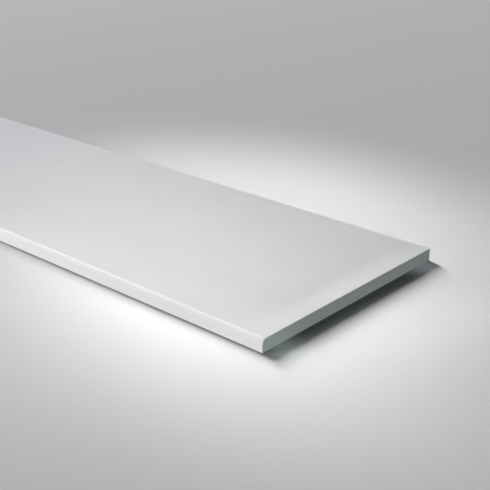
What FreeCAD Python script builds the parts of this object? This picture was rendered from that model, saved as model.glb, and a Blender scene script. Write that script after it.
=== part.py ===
import FreeCAD, Part
import math
import os
import Sketcher
from FreeCAD import Vector

# A window sill board, lying flat as it is stored. It is one solid slab, cast in one piece
# and sawn to length. X runs along the board, +Y points to the window and Z is up. The
# origin is in the middle of the underside. All sizes are in millimetres.

# Driving sizes: the name of each, its value and what it measures.
SIZES = [
    ("board_length", 1200.0, "sawn end to sawn end"),
    ("board_depth", 400.0, "front face to window edge"),
    ("board_thickness", 20.0, "underside to show face"),
    ("nose_radius", 8.0, "rounded top edge along the front"),
    ("arris_radius", 0.8, "every other edge, eased by hand"),
]

# Two faces that meet at less than this angle run smoothly into each other.
SMOOTH_ANGLE = math.radians(5.0)


def add_sizes(doc):
    """A sheet with one row for each driving size: what it measures, and its value under its name."""
    sheet = doc.addObject("Spreadsheet::Sheet", "Sizes")
    for row, (name, value, meaning) in enumerate(SIZES, start=1):
        sheet.set("A%d" % row, meaning)
        sheet.set("B%d" % row, str(value))
        sheet.setAlias("B%d" % row, name)
    doc.recompute()
    return sheet


def origin_plane(body, role):
    """The body's own origin plane that has this role."""
    return next(plane for plane in body.Origin.OriginFeatures if plane.Role == role)


def draw_section(body, sheet):
    """The board's section, seen from its right end: a flat slab with a round nose at the top front."""
    sketch = body.newObject("Sketcher::SketchObject", "Section")
    sketch.AttachmentSupport = (origin_plane(body, "YZ_Plane"), [""])
    sketch.MapMode = "FlatFace"

    front = -sheet.board_depth / 2
    back = sheet.board_depth / 2
    top = sheet.board_thickness
    nose_centre = Vector(front + sheet.nose_radius, top - sheet.nose_radius, 0)
    nose_circle = Part.Circle(nose_centre, Vector(0, 0, 1), sheet.nose_radius)

    underside = sketch.addGeometry(Part.LineSegment(Vector(front, 0, 0), Vector(back, 0, 0)))
    window_edge = sketch.addGeometry(Part.LineSegment(Vector(back, 0, 0), Vector(back, top, 0)))
    show_face = sketch.addGeometry(Part.LineSegment(Vector(back, top, 0), Vector(nose_centre.x, top, 0)))
    nose = sketch.addGeometry(Part.ArcOfCircle(nose_circle, math.pi / 2, math.pi))
    front_face = sketch.addGeometry(Part.LineSegment(Vector(front, nose_centre.y, 0), Vector(front, 0, 0)))

    # The outline is closed, and the nose runs smoothly into the show face and the front face.
    start, end = 1, 2
    sketch.addConstraint(Sketcher.Constraint("Coincident", underside, end, window_edge, start))
    sketch.addConstraint(Sketcher.Constraint("Coincident", window_edge, end, show_face, start))
    sketch.addConstraint(Sketcher.Constraint("Tangent", show_face, end, nose, start))
    sketch.addConstraint(Sketcher.Constraint("Tangent", nose, end, front_face, start))
    sketch.addConstraint(Sketcher.Constraint("Coincident", front_face, end, underside, start))

    # The slab is square, lies on the floor and is centred on its depth.
    depth_axis, height_axis = -1, -2
    sketch.addConstraint(Sketcher.Constraint("Horizontal", show_face))
    sketch.addConstraint(Sketcher.Constraint("Vertical", window_edge))
    sketch.addConstraint(Sketcher.Constraint("Vertical", front_face))
    sketch.addConstraint(Sketcher.Constraint("PointOnObject", underside, start, depth_axis))
    sketch.addConstraint(Sketcher.Constraint("Symmetric", underside, start, underside, end, height_axis))

    # The section's three sizes follow the sheet.
    depth = Sketcher.Constraint("DistanceX", underside, start, underside, end, back - front)
    thickness = Sketcher.Constraint("DistanceY", window_edge, start, window_edge, end, top)
    radius = Sketcher.Constraint("Radius", nose, sheet.nose_radius)
    for size, constraint in [("board_depth", depth), ("board_thickness", thickness), ("nose_radius", radius)]:
        sketch.renameConstraint(sketch.addConstraint(constraint), size)
        sketch.setExpression("Constraints." + size, "Sizes." + size)
    return sketch


def normal_at(face, point):
    """The face's outward normal at a point that lies on it."""
    across, along = face.Surface.parameter(point)
    return face.normalAt(across, along)


def sharp_edges(shape):
    """Names of the edges where two faces meet at an angle, which leaves out both sides of the nose."""
    names = []
    for number, edge in enumerate(shape.Edges, start=1):
        middle = edge.valueAt((edge.FirstParameter + edge.LastParameter) / 2)
        first, second = [normal_at(face, middle) for face in shape.ancestorsOfType(edge, Part.Face)]
        if first.getAngle(second) > SMOOTH_ANGLE:
            names.append("Edge%d" % number)
    return names


def make_board(doc, sheet):
    """The section carried along the length, with its sharp edges eased."""
    body = doc.addObject("PartDesign::Body", "Board")
    body.Label = "sill_board"
    section = draw_section(body, sheet)

    slab = body.newObject("PartDesign::Pad", "Slab")
    slab.Profile = section
    slab.SideType = "Symmetric"
    slab.setExpression("Length", "Sizes.board_length")
    section.Visibility = False
    doc.recompute()

    arrises = body.newObject("PartDesign::Fillet", "EasedArrises")
    arrises.Base = (slab, sharp_edges(slab.Shape))
    arrises.setExpression("Radius", "Sizes.arris_radius")
    doc.recompute()
    return body


def check_document(doc):
    """Stops if any object of the document failed to build."""
    for item in doc.Objects:
        if "Invalid" in item.State or "Error" in item.State:
            raise RuntimeError("%s failed: %s" % (item.Label, item.State))


def export_node(body):
    """Writes the sub-part's one valid solid to a file of its own."""
    shape = body.Shape
    if shape.isNull() or not shape.isValid() or len(shape.Solids) != 1:
        raise RuntimeError("%s isn't one valid solid" % body.Label)
    shape.exportStep("parts/%s.step" % body.Label)
    box = shape.optimalBoundingBox(False, False)
    print("%s: %.1f x %.1f x %.1f mm, %.0f cm3"
          % (body.Label, box.XLength, box.YLength, box.ZLength, shape.Volume / 1000.0))


doc = FreeCAD.newDocument("window_sill_board")
sheet = add_sizes(doc)
board = make_board(doc, sheet)
check_document(doc)
os.makedirs("parts", exist_ok=True)
export_node(board)
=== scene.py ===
import math

import bmesh
import bpy
import numpy as np
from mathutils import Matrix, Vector


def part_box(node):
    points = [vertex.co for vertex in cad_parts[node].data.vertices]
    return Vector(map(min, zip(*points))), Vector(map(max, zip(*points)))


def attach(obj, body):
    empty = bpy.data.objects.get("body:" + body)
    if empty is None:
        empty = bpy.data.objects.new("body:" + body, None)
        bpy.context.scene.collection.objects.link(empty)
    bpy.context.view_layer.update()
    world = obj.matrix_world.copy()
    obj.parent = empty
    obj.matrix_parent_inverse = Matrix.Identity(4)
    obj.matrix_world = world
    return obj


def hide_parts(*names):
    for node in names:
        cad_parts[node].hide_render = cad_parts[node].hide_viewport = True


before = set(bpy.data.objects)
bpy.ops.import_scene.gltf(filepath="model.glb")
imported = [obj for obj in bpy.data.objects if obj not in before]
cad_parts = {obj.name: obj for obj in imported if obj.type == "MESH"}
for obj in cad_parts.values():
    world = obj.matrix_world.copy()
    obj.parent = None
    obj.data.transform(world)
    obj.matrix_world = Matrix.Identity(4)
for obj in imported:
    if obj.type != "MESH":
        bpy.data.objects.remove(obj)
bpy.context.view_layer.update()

MM = 0.001

# The board's box comes from the sill_board part in model.glb, and its two radii are the construction's.
LOW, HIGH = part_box("sill_board")
NOSE_RADIUS = 8.0 * MM
ARRIS_RADIUS = 0.8 * MM

# How deep the gel coat goes, and the saw that cut the board: the radius of its blade, and how far the blade's
# axis ran below the underside.
COAT_THICKNESS = 0.6 * MM
BLADE_RADIUS = 175.0 * MM
BLADE_DROP = 90.0 * MM

# Facets over a quarter turn of the nose and of an eased arris, and facets along the length.
NOSE_STEPS = 32
ARRIS_STEPS = 6
LENGTH_STEPS = 60

# Points of the mesh that are closer than this are one point.
MERGE_DISTANCE = 0.001 * MM

# The finishes, in the order of the board's material slots.
GEL_COAT, SAWN_BODY, GROUND_BODY = range(3)


def linear(hex_colour):
    """An sRGB hex colour as linear red, green, blue and alpha.

    Up to 0.04045 the linear value is value / 12.92, and above that it is ((value + 0.055) / 1.055) to the
    power of 2.4.
    """
    srgb = np.array([int(hex_colour[i:i + 2], 16) for i in (1, 3, 5)]) / 255.0
    values = np.where(srgb <= 0.04045, srgb / 12.92, ((srgb + 0.055) / 1.055) ** 2.4)
    return (*values.tolist(), 1.0)


def per_mm(size):
    """A texture's scale for features so many millimetres across, on coordinates in metres."""
    return 1.0 / (size * MM)


def add_node(tree, kind, settings=None, links=None):
    """Adds a node to a material's tree.

    Each setting goes to the input of that name or number, or else to the node's own property. Each link joins
    another node's output to an input.
    """
    node = tree.nodes.new(kind)
    for name, value in (settings or {}).items():
        if isinstance(name, int) or name in node.inputs:
            node.inputs[name].default_value = value
        else:
            setattr(node, name, value)
    for name, output in (links or {}).items():
        tree.links.new(output, node.inputs[name])
    return node


def section_outline():
    """The section's points (y, z) and outward normals, and the finish from each point to the next.

    Each corner is an arc, centre + radius * (cos a, sin a), over a quarter turn, going anticlockwise as seen
    from the right end. The straight runs join the arcs: underside, window edge, show face, front face.
    """
    front, back = LOW.y, HIGH.y
    # Each corner: the upright face beside it and the way it faces, the level face and the way it faces,
    # the arc's radius, its facets, the angle it starts at, its finish, and the finish of the straight run
    # after it.
    corners = [
        (front, -1, LOW.z, -1, ARRIS_RADIUS, ARRIS_STEPS, 180, GEL_COAT, GROUND_BODY),
        (back, 1, LOW.z, -1, ARRIS_RADIUS, ARRIS_STEPS, 270, SAWN_BODY, SAWN_BODY),
        (back, 1, HIGH.z, 1, ARRIS_RADIUS, ARRIS_STEPS, 0, GEL_COAT, GEL_COAT),
        (front, -1, HIGH.z, 1, NOSE_RADIUS, NOSE_STEPS, 90, GEL_COAT, GEL_COAT),
    ]
    points, normals, finishes, curved = [], [], [], []
    for y, outward, z, upward, radius, steps, start, on_arc, on_run in corners:
        turn = np.radians(start + np.linspace(0, 90, steps + 1))
        normal = np.stack([np.cos(turn), np.sin(turn)], axis=1)
        centre = np.array([y - outward * radius, z - upward * radius])
        points.append(centre + radius * normal)
        normals.append(normal)
        finishes += [on_arc] * steps + [on_run]
        curved += [True] * steps + [False]
    return np.concatenate(points), np.concatenate(normals), np.array(finishes), np.array(curved)


def length_stations():
    """Places x along the board and how far the outline is drawn in there.

    At each end x = r (1 - cos a) from the end and the inset is r (1 - sin a) as a turns from 0 to 90 degrees,
    which eases the sawn end by the arris radius r. Between the two ends the inset is 0.
    """
    turn = np.radians(np.linspace(0, 90, ARRIS_STEPS + 1))
    from_end = ARRIS_RADIUS * (1 - np.cos(turn))
    inset = ARRIS_RADIUS * (1 - np.sin(turn))
    straight = np.linspace(LOW.x + ARRIS_RADIUS, HIGH.x - ARRIS_RADIUS, LENGTH_STEPS + 1)[1:-1]
    x = np.concatenate([LOW.x + from_end, straight, (HIGH.x - from_end)[::-1]])
    return x, np.concatenate([inset, np.zeros(len(straight)), inset[::-1]])


def make_board():
    """The slab as one closed surface, with a flat at each end.

    Row v and column u meet at the point (x(v), outline(u) - normal(u) * inset(v)), so each row is the
    section's outline, drawn in near the ends.
    """
    outline, normals, finishes, curved = section_outline()
    x, inset = length_stations()
    rows, columns = len(x), len(outline)
    across = outline[None] - normals[None] * inset[:, None, None]
    points = np.concatenate([np.repeat(x, columns)[:, None], across.reshape(-1, 2)], axis=1)

    place = np.arange(rows * columns).reshape(rows, columns)
    following = np.roll(place, -1, axis=1)
    quads = np.stack([place[:-1], following[:-1], following[1:], place[1:]], axis=-1).reshape(-1, 4)
    ends = [place[0][::-1].tolist(), place[-1].tolist()]

    # An end's eased edge cuts through the coat, so sawn body shows where the edge lies deeper than the
    # coat, and wherever there was no coat.
    facet_inset = (inset[:-1] + inset[1:]) / 2
    eased = facet_inset > 0
    finish_grid = np.tile(finishes, (rows - 1, 1))
    curved_grid = np.tile(curved, (rows - 1, 1))
    finish_grid[eased] = np.where(finishes == GEL_COAT, GEL_COAT, SAWN_BODY)
    finish_grid[facet_inset > COAT_THICKNESS] = SAWN_BODY
    curved_grid[eased] = True

    mesh = bpy.data.meshes.new("cast_sill_board")
    mesh.from_pydata(points.tolist(), [], quads.tolist() + ends)
    all_finishes = np.append(finish_grid.ravel(), [SAWN_BODY] * len(ends)).astype(np.int32)
    all_curved = np.append(curved_grid.ravel(), [False] * len(ends))
    mesh.polygons.foreach_set("material_index", all_finishes)
    mesh.polygons.foreach_set("use_smooth", all_curved)

    # The long arrises close to a point at each corner of an end, so the points there are merged.
    shell = bmesh.new()
    shell.from_mesh(mesh)
    bmesh.ops.remove_doubles(shell, verts=shell.verts, dist=MERGE_DISTANCE)
    shell.to_mesh(mesh)
    shell.free()

    board = bpy.data.objects.new("cast_sill_board", mesh)
    bpy.context.scene.collection.objects.link(board)
    for material in (gel_coat_material(), sawn_material(), ground_material()):
        mesh.materials.append(material)
    return board


def new_material(name):
    """An empty node material and its tree."""
    material = bpy.data.materials.new(name)
    material.use_nodes = True
    material.node_tree.nodes.clear()
    return material, material.node_tree


def gel_coat_material():
    """White polyester gel coat, cast against a polished mould.

    It gives the eye a smooth, even satin white. The pigment lies in clouds barely a shade apart, a faint
    orange peel softens what the skin reflects, and handling has rubbed it a little duller in streaks
    along the board.
    """
    material, tree = new_material("gel_coat_cast_satin_white")
    place = add_node(tree, "ShaderNodeTexCoord").outputs["Object"]

    # Pigment clouds, 70 mm across.
    clouds = add_node(tree, "ShaderNodeTexNoise", {"Scale": per_mm(70), "Detail": 3.0, "Roughness": 0.45},
                      {"Vector": place})
    cloud_depth = add_node(tree, "ShaderNodeMapRange", {"From Min": 0.3, "From Max": 0.7},
                           {"Value": clouds.outputs["Fac"]})
    colour = add_node(tree, "ShaderNodeMixRGB", {"Color1": linear("#E4E4E5"), "Color2": linear("#E7E7E7")},
                      {"Fac": cloud_depth.outputs["Result"]})

    # Rubbed streaks, 25 mm wide and eight times as long.
    drawn_out = add_node(tree, "ShaderNodeMapping", {"Scale": (1 / 8, 1.0, 1.0)}, {"Vector": place})
    rubbing = add_node(tree, "ShaderNodeTexNoise", {"Scale": per_mm(25), "Detail": 4.0, "Roughness": 0.6},
                       {"Vector": drawn_out.outputs["Vector"]})
    dulling = add_node(tree, "ShaderNodeMapRange",
                       {"From Min": 0.3, "From Max": 0.7, "To Min": 0.54, "To Max": 0.565},
                       {"Value": rubbing.outputs["Fac"]})

    # Orange peel. Real ripples are about 2 mm wide and 0.002 mm high, and are drawn 3 mm and 0.01 mm to show.
    peel = add_node(tree, "ShaderNodeTexNoise", {"Scale": per_mm(3), "Detail": 1.0}, {"Vector": place})
    ripples = add_node(tree, "ShaderNodeBump", {"Distance": 0.01 * MM}, {"Height": peel.outputs["Fac"]})

    shader = add_node(tree, "ShaderNodeBsdfPrincipled", {"IOR": 1.52},
                      {"Base Color": colour.outputs["Color"], "Roughness": dulling.outputs["Result"],
                       "Normal": ripples.outputs["Normal"]})
    add_node(tree, "ShaderNodeOutputMaterial", None, {"Surface": shader.outputs["BSDF"]})
    return material


def sawn_material():
    """Cast mineral composite, cut with a circular saw and gone over with a sanding block.

    It gives the eye a matt white a shade greyer and greener than the coat, peppered with grains of the
    filler.
    The grey-green is partly the sawn body's own tone and partly painted shade on the end faces. The blade's
    teeth left faint leaning arcs, all of one radius and each a little further along the cut. A point's arc is
    at along + sqrt(R^2 - drop^2), for a blade of radius R whose axis passed that drop below the point.
    """
    material, tree = new_material("mineral_composite_sawn_matt")
    place = add_node(tree, "ShaderNodeTexCoord").outputs["Object"]

    # Filler grains. Real ones are up to 0.5 mm across, and are drawn 1.5 mm to show.
    cells = add_node(tree, "ShaderNodeTexVoronoi", {"Scale": per_mm(1.5)}, {"Vector": place})
    grain = add_node(tree, "ShaderNodeSeparateColor", None, {"Color": cells.outputs["Color"]})
    blotches = add_node(tree, "ShaderNodeTexNoise", {"Scale": per_mm(14), "Detail": 3.0, "Roughness": 0.6},
                        {"Vector": place})
    peppering = add_node(tree, "ShaderNodeMath", {"operation": "MULTIPLY"},
                         {0: grain.outputs["Red"], 1: blotches.outputs["Fac"]})
    pepper_depth = add_node(tree, "ShaderNodeMapRange", {"From Min": 0.0, "From Max": 0.7},
                            {"Value": peppering.outputs["Value"]})
    # The two grey-greens are partly the body's own tone and partly painted shade that darkens the ends.
    colour = add_node(tree, "ShaderNodeMixRGB", {"Color1": linear("#D7DAD7"), "Color2": linear("#CDD1CE")},
                      {"Fac": pepper_depth.outputs["Result"]})

    # The blade's arcs. Over each cut either x or y stays the same, so x + y is the place along it.
    axes = add_node(tree, "ShaderNodeSeparateXYZ", None, {"Vector": place})
    drop = add_node(tree, "ShaderNodeMath", {"operation": "ADD", 1: BLADE_DROP}, {0: axes.outputs["Z"]})
    drop_squared = add_node(tree, "ShaderNodeMath", {"operation": "POWER", 1: 2.0},
                            {0: drop.outputs["Value"]})
    reach_squared = add_node(tree, "ShaderNodeMath", {"operation": "SUBTRACT", 0: BLADE_RADIUS ** 2},
                             {1: drop_squared.outputs["Value"]})
    reach = add_node(tree, "ShaderNodeMath", {"operation": "SQRT"}, {0: reach_squared.outputs["Value"]})
    along = add_node(tree, "ShaderNodeMath", {"operation": "ADD"},
                     {0: axes.outputs["X"], 1: axes.outputs["Y"]})
    tooth = add_node(tree, "ShaderNodeMath", {"operation": "ADD"},
                     {0: along.outputs["Value"], 1: reach.outputs["Value"]})
    # Real tooth marks are under 1 mm apart, and are drawn about 3 mm apart to show.
    arcs = add_node(tree, "ShaderNodeTexNoise",
                    {"noise_dimensions": "1D", "Scale": per_mm(3), "Detail": 2.0, "Roughness": 0.6},
                    {"W": tooth.outputs["Value"]})
    arc_relief = add_node(tree, "ShaderNodeBump", {"Distance": 0.05 * MM}, {"Height": arcs.outputs["Fac"]})
    relief = add_node(tree, "ShaderNodeBump", {"Distance": 0.02 * MM},
                      {"Height": grain.outputs["Red"], "Normal": arc_relief.outputs["Normal"]})

    # The sanding block has polished the high places of the cut a little.
    mattness = add_node(tree, "ShaderNodeMapRange",
                        {"From Min": 0.3, "From Max": 0.7, "To Min": 0.7, "To Max": 0.58},
                        {"Value": arcs.outputs["Fac"]})

    shader = add_node(tree, "ShaderNodeBsdfPrincipled", {"IOR": 1.5},
                      {"Base Color": colour.outputs["Color"], "Roughness": mattness.outputs["Result"],
                       "Normal": relief.outputs["Normal"]})
    add_node(tree, "ShaderNodeOutputMaterial", None, {"Surface": shader.outputs["BSDF"]})
    return material


def ground_material():
    """Cast mineral composite where the back of the casting was ground flat on a wide belt.

    It gives the eye a dry pale grey, with fine scratches along the board, where it went under the belt,
    and with open pores where the grinding cut into air bubbles.
    """
    material, tree = new_material("mineral_composite_ground_matt")
    place = add_node(tree, "ShaderNodeTexCoord").outputs["Object"]

    # Scratches, 60 times as long as wide. Real grit leaves them 0.1 mm wide, and they are drawn 1.2 mm to
    # show.
    drawn_out = add_node(tree, "ShaderNodeMapping", {"Scale": (1 / 60, 1.0, 1.0)}, {"Vector": place})
    scratches = add_node(tree, "ShaderNodeTexNoise", {"Scale": per_mm(1.2), "Detail": 3.0, "Roughness": 0.7},
                         {"Vector": drawn_out.outputs["Vector"]})

    # Pores: a bubble up to 3 mm across in the middle of some of the 9 mm cells.
    cells = add_node(tree, "ShaderNodeTexVoronoi", {"Scale": per_mm(9)}, {"Vector": place})
    chance = add_node(tree, "ShaderNodeSeparateColor", None, {"Color": cells.outputs["Color"]})
    bubble = add_node(tree, "ShaderNodeMapRange",
                      {"From Min": 0.6, "From Max": 1.0, "To Min": 0.0, "To Max": 0.17},
                      {"Value": chance.outputs["Red"]})
    pore = add_node(tree, "ShaderNodeMath", {"operation": "LESS_THAN"},
                    {0: cells.outputs["Distance"], 1: bubble.outputs["Result"]})

    # The resin and its filler have settled in clouds of slightly different greys, 40 mm across.
    clouds = add_node(tree, "ShaderNodeTexNoise", {"Scale": per_mm(40), "Detail": 4.0, "Roughness": 0.6},
                      {"Vector": place})
    cloud_depth = add_node(tree, "ShaderNodeMapRange", {"From Min": 0.3, "From Max": 0.7},
                           {"Value": clouds.outputs["Fac"]})
    body = add_node(tree, "ShaderNodeMixRGB", {"Color1": linear("#CFCFCA"), "Color2": linear("#D9D9D5")},
                    {"Fac": cloud_depth.outputs["Result"]})
    scratch_depth = add_node(tree, "ShaderNodeMapRange",
                             {"From Min": 0.35, "From Max": 0.65, "To Min": 0.0, "To Max": 0.45},
                             {"Value": scratches.outputs["Fac"]})
    scratched = add_node(tree, "ShaderNodeMixRGB", {"Color2": linear("#E4E4E1")},
                         {"Fac": scratch_depth.outputs["Result"], "Color1": body.outputs["Color"]})
    # The pores are painted dark grey: painted shade in their hollows.
    colour = add_node(tree, "ShaderNodeMixRGB", {"Color2": linear("#9A9993")},
                      {"Fac": pore.outputs["Value"], "Color1": scratched.outputs["Color"]})

    scratch_relief = add_node(tree, "ShaderNodeBump", {"Distance": 0.05 * MM},
                              {"Height": scratches.outputs["Fac"]})
    relief = add_node(tree, "ShaderNodeBump", {"Distance": 0.4 * MM, "invert": True},
                      {"Height": pore.outputs["Value"], "Normal": scratch_relief.outputs["Normal"]})

    shader = add_node(tree, "ShaderNodeBsdfPrincipled", {"IOR": 1.5, "Roughness": 0.75},
                      {"Base Color": colour.outputs["Color"], "Normal": relief.outputs["Normal"]})
    add_node(tree, "ShaderNodeOutputMaterial", None, {"Surface": shader.outputs["BSDF"]})
    return material


# How far the studio floor runs each way from the board's middle, in metres.
FLOOR_REACH = 40.0


def make_floor():
    """A plain matt studio floor, far wider than the view, which the lamps light up to a pale grey."""
    mesh = bpy.data.meshes.new("studio_floor")
    corners = [(-FLOOR_REACH, -FLOOR_REACH, 0), (FLOOR_REACH, -FLOOR_REACH, 0),
               (FLOOR_REACH, FLOOR_REACH, 0), (-FLOOR_REACH, FLOOR_REACH, 0)]
    mesh.from_pydata(corners, [], [(0, 1, 2, 3)])
    floor = bpy.data.objects.new("studio_floor", mesh)
    bpy.context.scene.collection.objects.link(floor)
    material, tree = new_material("studio_floor_matt_grey")
    shader = add_node(tree, "ShaderNodeBsdfPrincipled",
                      {"Base Color": linear("#969696"), "Roughness": 1.0, "Specular IOR Level": 0.0})
    add_node(tree, "ShaderNodeOutputMaterial", None, {"Surface": shader.outputs["BSDF"]})
    mesh.materials.append(material)

    # In the photograph the board's faces are as bright at the foot as at the top, so they take no light
    # from the floor.
    floor.visible_diffuse = False
    floor.visible_glossy = False
    return floor


# The photograph's camera, worked out from the board's straight edges: where it stands from the near
# bottom corner of the right end, how far it is turned from the window direction towards the left end, how
# far it looks down, and its lens for a sensor of this width, both in millimetres.
CAMERA_FROM_CORNER = Vector((762.8, -890.0, 652.4)) * MM
CAMERA_TURN = 41.70
CAMERA_DOWN = 23.07
CAMERA_LENS = 75.45
CAMERA_SENSOR = 36.0

# Nothing nearer to the camera than this is seen.
CAMERA_NEAREST = 10.0 * MM


def make_camera():
    """The photograph's camera, made the scene's own."""
    data = bpy.data.cameras.new("camera")
    data.lens = CAMERA_LENS
    data.sensor_width = CAMERA_SENSOR
    data.clip_start = CAMERA_NEAREST
    camera = bpy.data.objects.new("camera", data)
    bpy.context.scene.collection.objects.link(camera)
    camera.location = Vector((HIGH.x, LOW.y, LOW.z)) + CAMERA_FROM_CORNER
    camera.rotation_euler = (math.radians(90 - CAMERA_DOWN), 0, math.radians(CAMERA_TURN))
    bpy.context.scene.camera = camera


# The lamps' places and sizes are in metres, their directions in degrees and their powers in watts. A lamp's
# azimuth runs anticlockwise from the right end's direction, and its elevation up from the floor. The panels
# face one or the other of these two points.
ROOM_MIDDLE = (0.2, 0.0)
RIGHT_END = (0.6, 0.0)

# The pool of light on the floor has a bright core and a wide skirt. Each is an oval, with these half
# sizes along and across the light that makes it.
POOL_CORE = {"at": (0.451, -0.102), "oval": (0.324, 0.264), "azimuth": 160.6}
POOL_SKIRT = {"at": (0.325, 0.084), "oval": (0.699, 0.593), "azimuth": 155.4}

# The pool's light is a tall softbox whose every part shines on the same oval. Ten spots make it, one
# above the other, each at its elevation and with its share of the power, and they give the shade its slow
# soft edge.
SOFTBOX = ((68.0, 0.011), (57.0, 0.018), (44.3, 0.029), (38.5, 0.061), (33.2, 0.103),
           (28.9, 0.090), (25.5, 0.120), (22.2, 0.252), (18.3, 0.185), (14.7, 0.131))

# How far each spot stands from where it points, and the radii that a spot's glowing ball can have, from the
# softest light to the sharpest.
SPOT_DISTANCE = 2.6
SPOT_RADIUS = 0.13
SMALL_SPOT_RADIUS = 0.05
EDGE_SPOT_RADIUS = 0.022

# The room's light is one big far panel. The cards are small panels close to the board.
ROOM_PANEL = {"at": ROOM_MIDDLE, "azimuth": 169, "elevation": 30.8, "distance": 30.0, "size": (5.6, 12.0)}
CARD_DISTANCE = 3.0
LONG_CARD = (1.2, 0.5)
SHORT_CARD = (0.6, 0.3)

# The faint light that the rest of the room sends from all round.
ROOM_GLOW_COLOUR = "#D9EEFF"
ROOM_GLOW_STRENGTH = 0.066


def lit_collection(name, item):
    """A collection of one object, for the lamps that light that object alone."""
    collection = bpy.data.collections.new(name)
    collection.objects.link(item)
    return collection


def new_light(name, kind, power, colour):
    """A light of this kind, power and colour, for a lamp to hold."""
    data = bpy.data.lights.new(name, kind)
    data.energy = power
    data.color = linear(colour)[:3]
    return data


def place_lamp(name, data, at, azimuth, elevation, distance, lit):
    """Stands a lamp at a distance from a point on the floor, facing the point and unseen by the camera.

    The direction to the lamp is (cos azimuth * cos elevation, sin azimuth * cos elevation, sin elevation).
    The lamp lights the collection that it is given, or else everything.
    """
    turn, rise = math.radians(azimuth), math.radians(elevation)
    target = Vector((*at, 0))
    direction = Vector((math.cos(turn) * math.cos(rise), math.sin(turn) * math.cos(rise), math.sin(rise)))
    lamp = bpy.data.objects.new(name, data)
    bpy.context.scene.collection.objects.link(lamp)
    lamp.location = target + distance * direction
    lamp.rotation_euler = (target - lamp.location).to_track_quat("-Z", "Y").to_euler()
    lamp.visible_camera = False
    if lit:
        lamp.light_linking.receiver_collection = lit
    return lamp


def add_panel(name, at, azimuth, elevation, distance, size, power, colour, lit=None, reflected=True):
    """An evenly bright flat panel, of width and height. One that isn't reflected adds no gleam."""
    data = new_light(name, "AREA", power, colour)
    data.shape = "RECTANGLE"
    data.size, data.size_y = size
    panel = place_lamp(name, data, at, azimuth, elevation, distance, lit)
    panel.visible_glossy = reflected


def add_spot(name, at, oval, azimuth, elevation, power, colour, lit, radius=SPOT_RADIUS):
    """A soft spot whose cone is squeezed to cover an oval of floor, of half sizes along and across the light.

    Seen from the lamp, the half size across the light keeps its length, and the one along it is shortened to
    length * sin elevation. Over the lamp's distance, each is the tangent of half the cone's angle that way.
    """
    along, across = oval
    tan_along = along * math.sin(math.radians(elevation)) / SPOT_DISTANCE
    tan_across = across / SPOT_DISTANCE
    tan_cone = max(tan_along, tan_across)
    data = new_light(name, "SPOT", power, colour)
    data.spot_size = 2 * math.atan(tan_cone)
    data.spot_blend = 1.0
    data.shadow_soft_size = radius
    lamp = place_lamp(name, data, at, azimuth, elevation, SPOT_DISTANCE, lit)
    lamp.scale = (tan_across / tan_cone, tan_along / tan_cone, 1.0)


def add_softbox(name, at, oval, azimuth, power, colour, lit):
    """The tall softbox, as its spots."""
    for number, (elevation, share) in enumerate(SOFTBOX, start=1):
        add_spot("%s_%d" % (name, number), at, oval, azimuth, elevation, power * share, colour, lit)


def light_floor(lit):
    """The lamps that light the floor alone, and give it the photograph's bright pool and dark shade."""
    add_softbox("pool_core", **POOL_CORE, power=1290.0, colour="#FFFEFC", lit=lit)
    add_softbox("pool_skirt", **POOL_SKIRT, power=765.0, colour="#FFFCFF", lit=lit)

    # They widen the pool behind the board, beyond its right end and along its front.
    add_spot("pool_back", at=(0.42, 0.27), oval=(0.3, 0.12), azimuth=160, elevation=30, power=210.0,
             colour="#E8FFE3", lit=lit)
    add_spot("pool_right", at=(0.72, 0.045), oval=(0.08, 0.18), azimuth=160, elevation=30, power=190.0,
             colour="#FFFFFF", lit=lit, radius=SMALL_SPOT_RADIUS)
    add_spot("front_fill", at=(0.14, -0.335), oval=(0.115, 0.76), azimuth=240, elevation=15, power=2280.0,
             colour="#F8FFF4", lit=lit)

    # They lighten the shade at the near and the far corner of the right end.
    add_spot("near_corner", at=(0.615, -0.17), oval=(0.028, 0.036), azimuth=-10, elevation=35, power=345.0,
             colour="#E6FFF8", lit=lit, radius=EDGE_SPOT_RADIUS)
    add_spot("far_corner", at=(0.607, 0.173), oval=(0.018, 0.034), azimuth=10, elevation=35, power=640.0,
             colour="#F1F4FF", lit=lit, radius=EDGE_SPOT_RADIUS)

    # The floor gets this much more of the room's light than the board does.
    add_panel("room_left_floor", **ROOM_PANEL, power=17867.0, colour="#FEFFFB", lit=lit)


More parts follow.
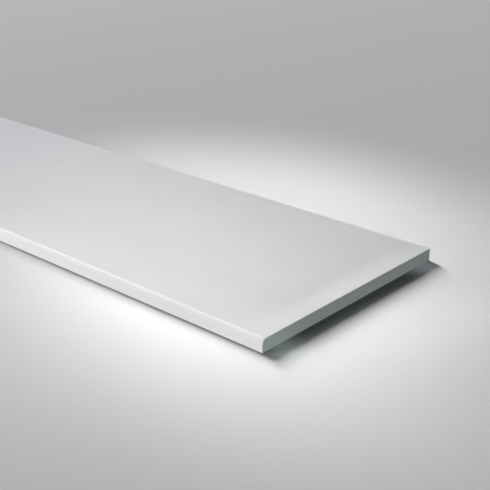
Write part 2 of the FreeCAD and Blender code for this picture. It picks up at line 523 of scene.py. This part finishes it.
def light_board(lit):
    """The lamps that light the board alone, and keep its faces evenly bright."""
    # The pool's light again, at a tenth of its power or less.
    add_softbox("key", **POOL_CORE, power=128.1, colour="#FFFFF2", lit=lit)
    add_softbox("key_skirt", **POOL_SKIRT, power=45.0, colour="#FBFFF0", lit=lit)

    # Cards for the show face, the front face and the right end.
    add_panel("back_high", at=ROOM_MIDDLE, azimuth=120, elevation=45, distance=CARD_DISTANCE, size=LONG_CARD,
              power=23.0, colour="#FEFFFE", lit=lit)
    add_panel("front_low", at=ROOM_MIDDLE, azimuth=256, elevation=8, distance=CARD_DISTANCE, size=LONG_CARD,
              power=79.4, colour="#FFFDFA", lit=lit, reflected=False)
    add_panel("end_card", at=RIGHT_END, azimuth=-15, elevation=5, distance=CARD_DISTANCE, size=SHORT_CARD,
              power=20.9, colour="#F6FFF9", lit=lit)

    # They brighten the near corner of the right end, and rim the show face along its front and its right
    # edge.
    add_spot("end_corner", at=(0.6, -0.19), oval=(0.07, 0.07), azimuth=-20, elevation=30, power=60.0,
             colour="#F8FFFA", lit=lit, radius=SMALL_SPOT_RADIUS)
    add_spot("front_edge", at=(0.35, -0.19), oval=(0.06, 0.8), azimuth=90, elevation=70, power=25.3,
             colour="#FEFFF6", lit=lit, radius=SMALL_SPOT_RADIUS)
    add_spot("right_edge", at=(0.601, 0.01), oval=(0.014, 0.26), azimuth=180, elevation=60, power=74.0,
             colour="#FDFFE6", lit=lit, radius=EDGE_SPOT_RADIUS)


def light_studio(floor, board):
    """The studio's lamps and the room's glow.

    In the photograph the floor has a bright pool and a nearly black shade, while the board's faces are evenly
    bright. No one set of lamps gives both, so the floor and the board each have lamps of their own.
    """
    floor_alone = lit_collection("lit_floor", floor)
    board_alone = lit_collection("lit_board", board)
    light_floor(floor_alone)
    add_panel("room_left", **ROOM_PANEL, power=5019.0, colour="#FCF5FF")
    light_board(board_alone)

    world = bpy.data.worlds.new("studio")
    bpy.context.scene.world = world
    world.use_nodes = True
    glow = world.node_tree.nodes["Background"]
    glow.inputs["Color"].default_value = linear(ROOM_GLOW_COLOUR)
    glow.inputs["Strength"].default_value = ROOM_GLOW_STRENGTH


board = make_board()
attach(board, "root")
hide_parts("sill_board")

floor = make_floor()

make_camera()
light_studio(floor, board)
bpy.context.scene.view_settings.view_transform = "Standard"
